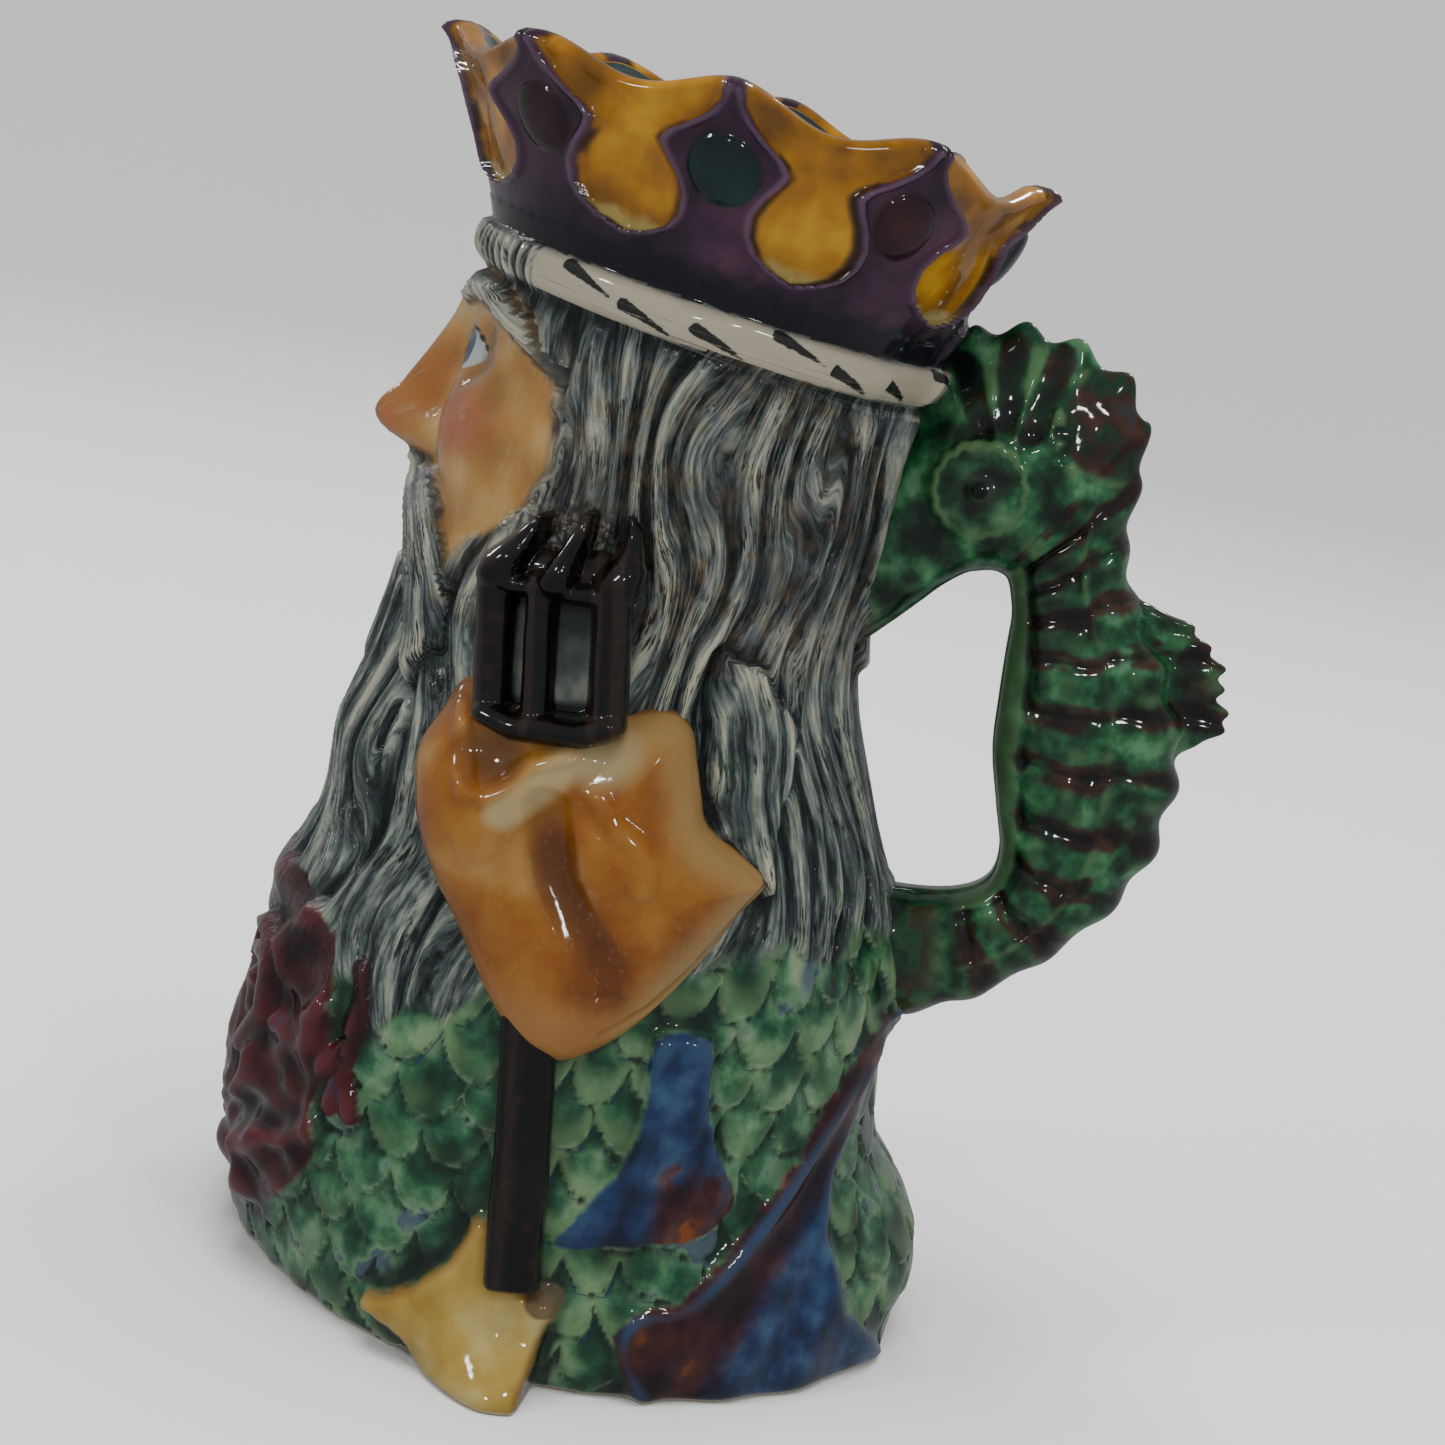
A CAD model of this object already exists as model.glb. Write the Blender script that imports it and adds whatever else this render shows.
# %% [markdown]
# # A sea king pitcher in coloured majolica glazes
#
# The real pitcher is earthenware. Thin clay, called slip, is poured into a plaster mould; the plaster drinks its
# water, a wall of clay a few millimetres thick sets against it, and the rest is poured out. The cast is fired,
# painted with coloured glazes and fired again, until the colours melt into one deep, glassy coat.
#
# Two things make such ware look right. One is soft relief, because clay keeps no knife edges. The other is glaze
# that runs while it is molten: it leaves ridges pale and pools dark in the hollows. So the relief is made as real
# geometry here, and how far each place is a ridge or a hollow is kept for the paint.

# %% Load the fixed frame
import math

import bpy
import numpy as np
from mathutils import Matrix, Vector


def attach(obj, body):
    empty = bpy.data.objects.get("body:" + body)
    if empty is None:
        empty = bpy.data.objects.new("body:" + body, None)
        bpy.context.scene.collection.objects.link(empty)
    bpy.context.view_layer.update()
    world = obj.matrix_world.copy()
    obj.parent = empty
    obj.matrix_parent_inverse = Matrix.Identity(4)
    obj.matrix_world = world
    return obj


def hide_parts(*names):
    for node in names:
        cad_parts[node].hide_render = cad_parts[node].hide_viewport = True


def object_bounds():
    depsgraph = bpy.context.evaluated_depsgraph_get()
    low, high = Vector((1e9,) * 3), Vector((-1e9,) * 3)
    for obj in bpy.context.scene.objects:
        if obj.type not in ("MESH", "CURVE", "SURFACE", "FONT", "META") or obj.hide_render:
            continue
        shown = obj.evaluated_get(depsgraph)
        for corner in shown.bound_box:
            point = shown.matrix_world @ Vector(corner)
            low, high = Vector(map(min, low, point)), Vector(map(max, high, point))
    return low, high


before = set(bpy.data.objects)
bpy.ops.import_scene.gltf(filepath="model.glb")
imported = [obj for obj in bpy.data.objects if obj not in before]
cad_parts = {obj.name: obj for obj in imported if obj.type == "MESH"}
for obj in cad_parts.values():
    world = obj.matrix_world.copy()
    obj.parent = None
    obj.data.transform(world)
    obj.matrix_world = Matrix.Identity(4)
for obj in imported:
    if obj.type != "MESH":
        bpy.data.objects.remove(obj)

MM = 0.001
cad_low, cad_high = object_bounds()
print("The solid's box in mm:", [round(v / MM, 1) for v in (*cad_low, *cad_high)])

# %% [markdown]
# ## Where the camera stands
#
# The photographer held the camera a little above the middle of the pitcher, square to its trident side, and tilted,
# so the pitcher leans to the right in the picture. A camera can be aimed with a Track To constraint, but a tilt
# about its own view axis is simplest as one matrix: move, aim, then roll.

# %% Camera
AIM = Vector((9.74, 0.0, 90.94)) * MM
AZIMUTH, ELEVATION, TILT = math.radians(4), math.radians(11), math.radians(11)
DISTANCE = 460 * MM

back = Vector((math.sin(AZIMUTH) * math.cos(ELEVATION), -math.cos(AZIMUTH) * math.cos(ELEVATION),
               math.sin(ELEVATION)))
camera = bpy.data.objects.new("camera", bpy.data.cameras.new("camera"))
bpy.context.scene.collection.objects.link(camera)
camera.matrix_world = (Matrix.Translation(AIM + back * DISTANCE) @ back.to_track_quat("Z", "Y").to_matrix().to_4x4()
                       @ Matrix.Rotation(TILT, 4, "Z"))
camera.data.lens = 73.3
camera.data.clip_start = 0.01
bpy.context.scene.camera = camera
print("The camera is", round(camera.location.z / MM), "mm above the floor")

# %% [markdown]
# ## Helpers for curves and soft edges
#
# Every form below is a small function of place, in millimetres, worked out for all points at once with numpy.
# Sculpting by hand or painting a displacement picture would also work, but functions can be made finer at will,
# and the paint can use the very same outlines as the relief.

# %% Soft steps, curves and irregularity
def smooth(low, high, value):
    """0 below low, 1 above high, and an even turn between them."""
    t = np.clip((value - low) / (high - low), 0.0, 1.0)
    return t * t * (3 - 2 * t)


def through(keys, values, at):
    """A smooth curve through values, which stand at keys."""
    slope = np.gradient(values, keys)
    i = np.clip(np.searchsorted(keys, at) - 1, 0, len(keys) - 2)
    span = keys[i + 1] - keys[i]
    t = np.clip((at - keys[i]) / span, 0.0, 1.0)
    rise = (3 - 2 * t) * t * t
    return (values[i] * (1 - rise) + values[i + 1] * rise
            + span * t * (1 - t) * ((1 - t) * slope[i] - t * slope[i + 1]))


def scatter(a, b=0.0, seed=0.0):
    """An even but irregular number from 0 to 1 for each whole a and b."""
    wild = np.sin(a * 127.1 + b * 311.7 + seed * 74.7) * 43758.5453
    return wild - np.floor(wild)


def drift(a, b, seed=0.0):
    """A slowly varying field from -1 to 1."""
    ia, ib = np.floor(a), np.floor(b)
    fa, fb = a - ia, b - ib
    fa, fb = fa * fa * (3 - 2 * fa), fb * fb * (3 - 2 * fb)
    low = scatter(ia, ib, seed) * (1 - fa) + scatter(ia + 1, ib, seed) * fa
    high = scatter(ia, ib + 1, seed) * (1 - fa) + scatter(ia + 1, ib + 1, seed) * fa
    return 2 * (low * (1 - fb) + high * fb) - 1


print("Halfway between two edges, a soft step is", float(smooth(2, 4, 3)))

# %% Outlines and distances
def rounded(points, steps=5):
    """A closed smooth curve through the points of an outline."""
    p = np.array(points, float)
    before, after, later = np.roll(p, 1, 0), np.roll(p, -1, 0), np.roll(p, -2, 0)
    curve = []
    for t in np.arange(steps) / steps:
        curve.append(0.5 * (2 * p + (after - before) * t + (2 * before - 5 * p + 4 * after - later) * t**2
                            + (3 * p - before - 3 * after + later) * t**3))
    return np.stack(curve, 1).reshape(-1, 2)


def away_from(x, z, points):
    """Distance to a line of straight pieces."""
    nearest = np.full(x.shape, 1e9)
    for (ax, az), (bx, bz) in zip(points[:-1], points[1:]):
        ex, ez = bx - ax, bz - az
        t = np.clip(((x - ax) * ex + (z - az) * ez) / (ex * ex + ez * ez), 0, 1)
        nearest = np.minimum(nearest, np.hypot(x - ax - t * ex, z - az - t * ez))
    return nearest


def depth_inside(x, z, points):
    """How far each place is inside an outline, and below 0 outside it."""
    curve = rounded(points)
    inside = np.zeros(x.shape, bool)
    for (ax, az), (bx, bz) in zip(curve, np.roll(curve, -1, 0)):
        if az != bz:
            inside ^= ((az > z) != (bz > z)) & (x < (bx - ax) * (z - az) / (bz - az) + ax)
    nearest = away_from(x, z, np.vstack([curve, curve[:1]]))
    return np.where(inside, nearest, -nearest)


def along(x, z, start, end):
    """Distance along and across a straight line, for each place."""
    dx, dz = end[0] - start[0], end[1] - start[1]
    size = math.hypot(dx, dz)
    return ((x - start[0]) * dx + (z - start[1]) * dz) / size, ((x - start[0]) * dz - (z - start[1]) * dx) / size

# %% Hills, strokes, and pieces laid on
def bump(across, up, half_across, half_up):
    """A round hill: 1 at its middle and 0 past its edge."""
    r = np.hypot(across / half_across, up / half_up)
    return np.where(r < 1, (1 - np.minimum(r, 1) ** 2) ** 1.5, 0.0)


def hills(x, z, rows):
    """Round hills and hollows added up: rows of place, half sizes and height."""
    return sum(rise * bump(x - at_x, z - at_z, half_x, half_z) for at_x, at_z, half_x, half_z, rise in rows)


def dome(share):
    """A round back: 0 at the edge, steep there, and 1 at the top."""
    return np.sqrt(np.clip(share, 0, 1))


def line_at(value, level, half_width):
    """1 along the line where a value has some level, fading on both sides."""
    return np.exp(-((value - level) / half_width) ** 2)


def stroke(x, z, points, half_width):
    """1 along the middle of a stroke through points, 0 at its edge and beyond."""
    return np.clip(1 - (away_from(x, z, points) / half_width) ** 2, 0, 1)


def swelling(x, z, rows):
    """Depth inside a stroke whose half width changes along it, and how round it is there, from 0 to 1."""
    best, share = np.full(x.shape, -1e9), np.zeros(x.shape)
    for (x0, z0, r0), (x1, z1, r1) in zip(rows, rows[1:]):
        dx, dz = x1 - x0, z1 - z0
        part = np.clip(((x - x0) * dx + (z - z0) * dz) / (dx * dx + dz * dz), 0, 1)
        radius = r0 + (r1 - r0) * part
        inside = radius - np.hypot(x - x0 - part * dx, z - z0 - part * dz)
        share = np.where(inside > best, inside / radius, share)
        best = np.maximum(best, inside)
    return best, np.sqrt(1 - (1 - np.clip(share, 0, 1)) ** 2)


def lay(height, piece, inside, soft=0.9):
    """Lays a piece over the relief where its outline is."""
    share = smooth(-soft, soft, inside)
    return height * (1 - share) + piece * share


def heap(under, over, soft=0.8):
    """The higher of two heights, with a soft fillet where they meet."""
    share = np.clip(0.5 + 0.5 * (over - under) / soft, 0, 1)
    return under * (1 - share) + over * share + soft * share * (1 - share)

# %% [markdown]
# ## The thrown form under the carving
#
# Without its relief the jug is a stack of ovals: wide at the foot, narrow at the neck and flared at the crown. A
# loft through ovals gives that in a few numbers. The same table made the solid, so the two agree.

# %% Body sections: height, front, back and half width
WALL, FLOOR = 4.0, 7.0

BODY = np.array([
    (-3, -50.8, 52.0, 51.5), (0, -51.5, 52.3, 52.0), (4, -52.6, 52.6, 52.8), (14, -53.6, 51.0, 52.8),
    (33, -53.6, 43.6, 51.0), (44, -52.6, 42.6, 49.5), (57, -50.4, 41.3, 47.5), (71, -46.0, 37.3, 45.0),
    (82, -46.2, 33.2, 43.0), (97, -42.8, 28.2, 39.8), (108, -41.0, 25.8, 38.0), (125, -39.6, 25.3, 36.5),
    (140, -38.4, 26.5, 36.0), (150, -37.4, 29.0, 36.0), (158, -37.2, 32.5, 37.0), (170, -41.0, 37.8, 40.3),
    (181, -46.0, 42.8, 43.6), (192, -51.6, 47.8, 46.8),
])


def section(z):
    """Centre, half length and half width of the body at a height."""
    front, back, half = (through(BODY[:, 0], BODY[:, k], z) for k in (1, 2, 3))
    return (front + back) / 2, (back - front) / 2, half


print("At the neck the body is", round(2 * float(section(125.0)[2])), "mm wide")

# %% [markdown]
# ## The crown
#
# The crown is the pitcher's rim. Violet straps rise from a band, swell into a diamond round a jewel and narrow to
# each point, and between them the gold wall is slightly dished. The straps carry a raised lip along their edge,
# which is where the glaze breaks pale. One table of strap width against height draws them all.

# %% Crown
CROWN_POINTS = np.array([-180.0, -128, -90, -51, 0, 51, 90, 128, 180])
STRAP = np.array([(0, 1.3), (6.0, 1.25), (6.9, 0.97), (7.8, 0.74), (9.4, 0.53), (11.8, 0.41), (14.6, 0.39),
                  (17.3, 0.47), (20, 0.61), (21.7, 0.66), (23.3, 0.57), (25.2, 0.38), (27.3, 0.22), (29.5, 0.12),
                  (33, 0.08), (38, 0.07)])
STRAP_TOP, CROWN_RADIUS = 33.0, 41.0
JEWEL_UP, JEWEL_RADIUS = 19.8, 5.1


def tip_height(x):
    """Height of the crown's points over the body's length."""
    return 187.4 - 0.085 * (x + 4) - 0.0011 * (x + 4) ** 2


def band_height(x):
    """Height of the fur band's upper edge, which slopes down to the back."""
    return 156.3 - 0.14 * (x + 4)


def crown_share(turn):
    """0 on a point's middle line and 1 halfway to the next point, and that half step in degrees."""
    i = np.clip(np.searchsorted(CROWN_POINTS, turn) - 1, 0, len(CROWN_POINTS) - 2)
    span = CROWN_POINTS[i + 1] - CROWN_POINTS[i]
    return 1 - np.abs(2 * (turn - CROWN_POINTS[i]) / span - 1), span / 2


def rim_height(turn):
    """The wavy rim: a peak on each point and a dip between."""
    x = -4 - 46.5 * np.cos(np.radians(turn))
    return tip_height(x) - 3.7 * np.sin(crown_share(turn)[0] * math.pi / 2) ** 1.7


print("The crown has", len(CROWN_POINTS) - 1, "points, and its front one is", round(float(rim_height(0.0))), "mm up")

# %% Relief of the crown
def crown(x, z, turn, paint):
    """Relief of the crown, and its paint layers."""
    up = (z - band_height(x)) * STRAP_TOP / (tip_height(x) - band_height(x))
    share, half_step = crown_share(turn)
    half = np.radians(half_step) * CROWN_RADIUS
    edge = (np.interp(up, STRAP[:, 0], STRAP[:, 1]) - share) * half
    to_jewel = np.hypot(share * half, up - JEWEL_UP)
    relief = smooth(-0.5, 0.5, edge) + line_at(edge, 0.8, 0.75) - 0.8 * smooth(0.3, 5.0, -edge)
    relief = np.where(up > 4, relief, 1.2) + 1.5 * dome(1 - (to_jewel / JEWEL_RADIUS) ** 2)
    below_rim = rim_height(turn) - z
    relief += 0.7 * line_at(below_rim, 0.8, 1.5) + 0.7 * line_at(share * half, 0, 2.6) * line_at(below_rim, 1, 2.4)
    nearest = np.abs(turn[..., None] - CROWN_POINTS).argmin(-1)
    garnet = np.isin(np.abs(CROWN_POINTS[nearest]), (51, 128))
    paint["crown_up"] = np.where(z > band_height(x), up, -5.0)
    paint["strap"] = edge
    paint["emerald"] = np.where(garnet, -9.0, JEWEL_RADIUS - to_jewel)
    paint["garnet"] = np.where(garnet, JEWEL_RADIUS - to_jewel, -9.0)
    return relief

# %% [markdown]
# ## Hair, beard and fur
#
# Hair in moulded clay is a set of thick, wavy locks that run down, each with a round back and a furrow beside it.
# A hair system would be far too fine. Here a lock is a stripe of a bent coordinate, and the same bent coordinate
# goes to the paint, so that the brush streaks follow the locks.

# %% Hair, beard and fur
HEAD_RADIUS = 38.0


def locks(u, z, spacing, wave, length, seed):
    """Lock relief from 0 to 1, and the place across the strands in millimetres."""
    bend = wave * np.sin(2 * math.pi * z / length + 2.2 * drift(u / 17, z / 45, seed))
    flow = u + bend + 0.5 * spacing * drift(u / 11, z / 34, seed + 1) + 0.8 * drift(u / 3, z / 15, seed + 2)
    place = flow / spacing
    part = 2 * (place - np.floor(place)) - 1
    lock = (1 - part**2) * (0.6 + 0.4 * scatter(np.floor(place), 0, seed))
    strand = flow / 2.1
    fine = 1 - (2 * (strand - np.floor(strand)) - 1) ** 2
    return lock + 0.14 * fine, flow


CURL = [(9.5, 107, 1.0), (12.3, 103, 3.8), (14.8, 96.5, 5.8), (16.3, 90, 5.9), (17.3, 84.5, 4.4), (19.5, 79, 2.0),
        (21.5, 74.5, 0.6)]


def fur_band(x, z, turn, paint):
    """The ermine roll under the crown: a soft ridge with dark tail marks, hidden by a forelock in front."""
    u = np.radians(np.abs(turn)) * HEAD_RADIUS
    fur = z - band_height(x)
    roll = dome(1 - ((fur + 3.0) / 3.7) ** 2)
    paint["forelock"] = (49 - np.abs(turn)) * 0.65 + 1.5 * drift(u / 6, z / 5, 23)
    paint["fur"] = np.minimum(3.1 - np.abs(fur + 3.1), -paint["forelock"])
    cell = np.floor(u / 12.0)
    du = u - (cell + 0.5) * 12.0 + 5 * (scatter(cell, 1, 4) - 0.5)
    down = fur + 1.2 + 2.6 * (scatter(cell, 2, 9) > 0.45)
    paint["tail_mark"] = 0.95 - 0.09 * (du + 4) - away_from(du, down, [(-5.0, 0.4), (-1.0, -0.6), (4.6, -2.2)])
    strands = 0.45 * smooth(-0.5, 0.5, paint["forelock"]) * np.sin(u * 2.6 + 0.8 * drift(u / 5, z / 5, 24))
    return (3.5 + 0.25 * drift(u / 5, z / 3, 21) + strands) * roll

# %% [markdown]
# ## The face
#
# The face is a calm, plain one of this lesson's own: eyes halfway up the head and one eye's width apart, a nose as
# wide as that gap, and cheeks set back to the hair. It is built from soft hills and hollows added to the body, with
# the nose pushed straight forwards. The brows and moustache are laid over it as strokes.

# %% Face
NOSE_LENGTH = 11.0
EYE = (13.0, 141.6)
print("The eyes are", 2 * EYE[0], "mm apart and", EYE[1], "mm up")


def face(y, z, paint):
    """What the face adds outwards, and what its nose adds forwards."""
    side = np.abs(y)
    e, f = side - EYE[0], z - EYE[1]
    opening = 3.0 * np.clip(1 - (e / 6.6) ** 2, -1, 1) + 0.06 * e
    eye = np.where(np.abs(e) < 6.6, opening - np.abs(f), -3.0)
    lids = 0.85 * np.where(f > 0, 1.0, 0.55) * line_at(eye, -0.55, 0.7) * bump(e, f, 9.5, 7)
    out = 1.2 + lids + hills(e, f, [(0, 0.4, 11, 8, -3.0), (0, 0, 7.6, 6.4, 3.5), (0, 5.6, 8.5, 2.4, 1.0),
                                    (0, -5.4, 8, 2.2, 0.7), (5, -11.1, 12, 10, 2.4)])
    heights = np.array([119.0, 122.0, 123.8, 125.5, 127.5, 130.0, 134.0, 140.0, 145.0, 149.0, 153.0])
    bridge = through(heights, np.array([0.0, 0.08, 0.45, 0.78, 0.94, 0.95, 0.8, 0.54, 0.36, 0.26, 0.0]), z)
    half = np.interp(z, [122, 127, 133, 141, 149], [5.6, 6.0, 5.2, 4.8, 6.0])
    nose = NOSE_LENGTH * bridge * np.exp(-((side / half) ** 2) * 1.5)
    nose += hills(side, z, [(5.6, 127, 4.6, 4.2, 3.4), (0, 128.6, 5.5, 5, 1.6), (5.4, 124.4, 1.8, 1.5, -0.9)])
    to_iris = np.hypot(e + 0.2, f - 0.25)
    paint.update(eye=eye, iris=np.minimum(2.75 - to_iris, eye), pupil=np.minimum(1.25 - to_iris, eye),
                 lash=0.5 - np.abs(eye + 0.1) - 0.5 * (f < -0.5), nose=bump(side, z - 131, 11, 18),
                 blush=np.maximum(bump(side - 20, z - 131.5, 13, 10), bump(side, z - 127.5, 8, 5) * 0.8))
    return out, nose

# %% Brows, moustache and lips
BROW = [(4.5, 149, 2.2), (12, 151.5, 3.5), (20, 150.6, 3.5), (27, 147, 2.8), (33, 141.5, 1.2)]
MOUSTACHE = [(2.5, 121.5, 3.6), (9, 119.5, 5.3), (17, 114.5, 6.2), (24, 107, 5.8), (27.5, 100, 4.2), (29, 93.5, 1.4)]


def brow_and_mouth(y, z):
    """Brows, moustache and lips as heights that lie over the face, and the place across the moustache's strands."""
    side = np.abs(y)
    brow, bushy = swelling(side, z, BROW)
    moustache, full = swelling(side, z, MOUSTACHE)
    across = away_from(side, z, [(at_y, at_z) for at_y, at_z, _ in MOUSTACHE])
    strand = np.sin(across * 2.6 + 0.5 * drift(side / 4, z / 4, 31))
    brow = (4.2 * bushy**1.3 * smooth(-0.5, 2.5, brow)
            + 0.2 * np.sin(z * 2.6 + side * 1.1) * smooth(0.4, 2.0, brow))
    moustache = 5.4 * full**1.4 * smooth(-0.5, 2.5, moustache) + 0.25 * strand * smooth(0.6, 2.4, moustache)
    lips = 3.2 * (bump(side, z - 112.3, 7.5, 3.4) ** 0.6 + 0.7 * bump(side, z - 116.2, 8, 2.6))
    return brow, moustache, lips, across

# %% [markdown]
# ## The hand and the trident
#
# The trident stands against the body and the closed hand lies over its shaft, smooth as a pebble, with one fold
# down its middle. The head is a thick block with two slots, which leave three prongs with flame-shaped points.
# Both are pieces of clay laid on the body, so they are modelled apart from it, and their rows of points end at their
# own edges. That keeps an edge crisp where a grid over the whole body would cut it into steps.

# %% Hand and trident: places and relief
HAND_RELIEF = 8.5
HAND = [(-23.5, 98), (-27, 92), (-29.2, 86), (-28.4, 79.8), (-25.8, 74), (-20.6, 66), (-15.5, 59), (-10.4, 52.5),
        (-5.5, 48.4), (-0.5, 47.6), (4.4, 50.2), (9, 54.6), (13, 60.2), (16.6, 66.2), (19.2, 71.4), (21.8, 76.3),
        (18.6, 79.8), (12.6, 83.5), (10.8, 87.8), (9.4, 92), (7.5, 97), (3.5, 99), (-4, 97), (-14, 97)]
FOLD = [(-8.2, 84), (-7.2, 80.5), (-5, 74), (-2, 69.2), (0.8, 65.2), (2, 61)]
HAND_HILLS = [(-20, 76, 8, 13, 1.5), (7, 74, 9, 15, 0.9), (-1, 77.5, 5.5, 7, 1.0), (-16.3, 88.8, 5.5, 5.2, -2.8)]
FINGER_LINES = [([(-21.2, 94), (-19.8, 87.5), (-17.9, 83.2), (-15.6, 83.2), (-11.5, 89), (-7, 91.5)], 1.5, 0.8),
                ([(-6, 92), (-9, 87), (-13.5, 81), (-15.5, 76.5)], 3.2, 1.0),
                ([(-3, 86.5), (-0.5, 83.2), (2.8, 80.8), (4.2, 78.2), (4.4, 75)], 1.7, 0.8),
                ([(20.5, 77), (17.4, 71), (13.6, 64), (9.4, 58.2), (4, 53.4)], 0.9, -0.5),
                *[([(2.6, low), (6.6, low + 0.7)], 0.7, -0.3) for low in (59.4, 61.6, 63.8)]]
TRIDENT_FOOT, TRIDENT_TOP, TRIDENT_HEAD_AT = (-0.3, 14.0), (-15.1, 124.0), 76.5


def hand_relief(x, z, inside):
    """A closed hand seen from its side."""
    h = HAND_RELIEF * np.sqrt(1 - (1 - np.clip(inside / 11.0, 0, 1)) ** 2) + hills(x, z, HAND_HILLS)
    h -= 2.1 * (stroke(x, z, FOLD, 3.0) * (0.35 + 0.65 * smooth(60, 76, z))) ** 1.1
    return h + sum(rise * stroke(x, z, points, half_width) for points, half_width, rise in FINGER_LINES)


def on_trident(side, far):
    """The x and z of a place beside the shaft's middle line and along it."""
    dx, dz = TRIDENT_TOP[0] - TRIDENT_FOOT[0], TRIDENT_TOP[1] - TRIDENT_FOOT[1]
    size = math.hypot(dx, dz)
    return TRIDENT_FOOT[0] + (far * dx + side * dz) / size, TRIDENT_FOOT[1] + (far * dz - side * dx) / size

# %% [markdown]
# ## The sea round the foot
#
# Below the hair the coat is fish scales, and over them lie a starfish, a shell, a small fin, the great tail fin
# that wraps to the back, a dark red crab in front and a sprig of red coral. Each is an outline with a height. The
# scales overlap like roof tiles with their free edges down.

# %% Sea life
SMALL_FIN = [(11.8, 53.5), (18.5, 53.5), (19.6, 46), (21.6, 39), (24.8, 33), (26.2, 28.5), (22, 24.4), (14.5, 23.2),
             (4, 21.6), (5.5, 25.5), (10.4, 34), (11.8, 42), (11.4, 48)]
TAIL_FIN = [(42, 54), (36.5, 42.5), (32, 31.8), (27.0, 22.5), (22, 15.5), (15.6, 12.8), (15.4, 6), (23, -4), (40, -4),
            (51.5, -4), (50.5, 3), (45.5, 11), (41.2, 21), (38.8, 30), (41, 40)]
RED_CRAB = [(-60, 60), (-42.5, 59), (-36.5, 54), (-34, 44), (-32.8, 37), (-34.3, 31.5), (-32.8, 26), (-34.5, 19.5),
            (-38.3, 14.3), (-46, 8), (-60, 4), (-72, 20), (-72, 42)]
CORAL = [[(-31, 52.5), (-30, 48), (-30.5, 42), (-30.8, 37.5), (-31.8, 31.8)], [(-30.8, 37.5), (-28.6, 31.8)],
         [(-30.5, 42), (-33, 37)]]
SHELL = (4.2, 14.2)
STAR_CENTRE = (-5.0, 7.5)
STAR_ARMS = [(94, 15.0, 7.5), (184, 14.5, 7.5), (240, 11, 7), (300, 15, 9), (30, 10.5, 7.5)]
TAIL_ROLL = [(-34, 30), (-8, 26), (22, 20), (52, 15)]
print("The starfish has", len(STAR_ARMS), "arms, and the sprig of coral", len(CORAL), "twigs")

# %% Starfish, crab and scales
def starfish(x, z):
    """Depth inside a starfish that hugs the foot and spreads onto the table, and its height."""
    inside = np.full(x.shape, -1e9)
    for lean, reach, thick in STAR_ARMS:
        tip = (STAR_CENTRE[0] + reach * math.cos(math.radians(lean)),
               STAR_CENTRE[1] + reach * math.sin(math.radians(lean)))
        far, side = along(x, z, STAR_CENTRE, tip)
        part = np.clip(far / reach, 0, 1)
        arm = thick * (1 - 0.66 * part) - np.hypot(side, far - part * reach)
        inside = np.where(inside > arm, inside, arm) + 1.2 * np.exp(-np.abs(inside - arm) / 1.5) * (inside > -50)
    height = 3.4 + 2.6 * dome(inside / 6.5) + 9.0 * smooth(11, -1, z) * bump(x - 1, 0, 13, 1)
    return inside - 0.8, height


def crab_front(y, z, height, front):
    """Lays the crab's shell, claws and eyes over the folds of its legs, alike on both sides."""
    side = np.abs(y)
    shell = 1 - np.hypot(y / 20.0, (z - 27) / (14.5 + 3.0 * smooth(20, 0, side)))
    lumps = 0.5 * drift(y / 3.2, z / 3.2, 51) + 0.5 * line_at(shell, 0.16, 0.05)
    height = height - 1.6 * front * smooth(-0.3, 0.0, shell)
    height = lay(height, 1.8 + 2.6 * dome(shell * 1.6) + lumps, shell * 16 - (1 - front) * 99)
    for rows, rise in (([(21, 31, 2.4), (27, 38, 3.0), (24, 45, 3.6), (17, 48.5, 3.4), (10, 47.5, 0.8)], 3.0),
                       ([(18, 45, 2.4), (12.5, 43.4, 1.5), (9.4, 44.2, 0.6)], 2.4),
                       ([(4.8, 40, 1.0), (5.0, 45, 1.6), (5.0, 45.6, 1.7)], 2.6)):
        inside, domed = swelling(side, z, rows)
        height = lay(height, 1.6 + rise * domed, inside - (1 - front) * 99, 0.7)
    return height


def fish_scales(u, z, wide, high, paint):
    """Overlapping scales: relief from 0 to 1, and how far each place is above its own free edge."""
    row = np.floor(z / high) + 1

    def over_edge(row):
        """Height over the free edge of the scale in a row."""
        part = 2 * ((u / wide + 0.5 * (row % 2)) % 1.0) - 1
        return z - (row * high - high * np.sqrt(1 - part**2 * 0.98))

    upper = over_edge(row)
    up = np.where(upper > 0, upper, over_edge(row - 1))
    paint["scale_up"] = up
    paint["scale_gap"] = np.where(upper > 0, 9.0, -upper)
    return smooth(0, 1.0, up) * (1 - 0.8 * smooth(0.8, 1.9 * high, up))

# %% [markdown]
# ## Pressing the relief into the body
#
# Now every layer is laid on in the order a modeller would: coat, hair and face first, then the crown and the band,
# and last what stands in front of them. Each outline's depth is kept as a paint layer. At the end the relief is
# compared with a blurred copy of itself, which tells a ridge from a hollow.

# %% Clay on the plain body, with its coat, hair and beard
FAR_AWAY = -50.0


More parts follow.
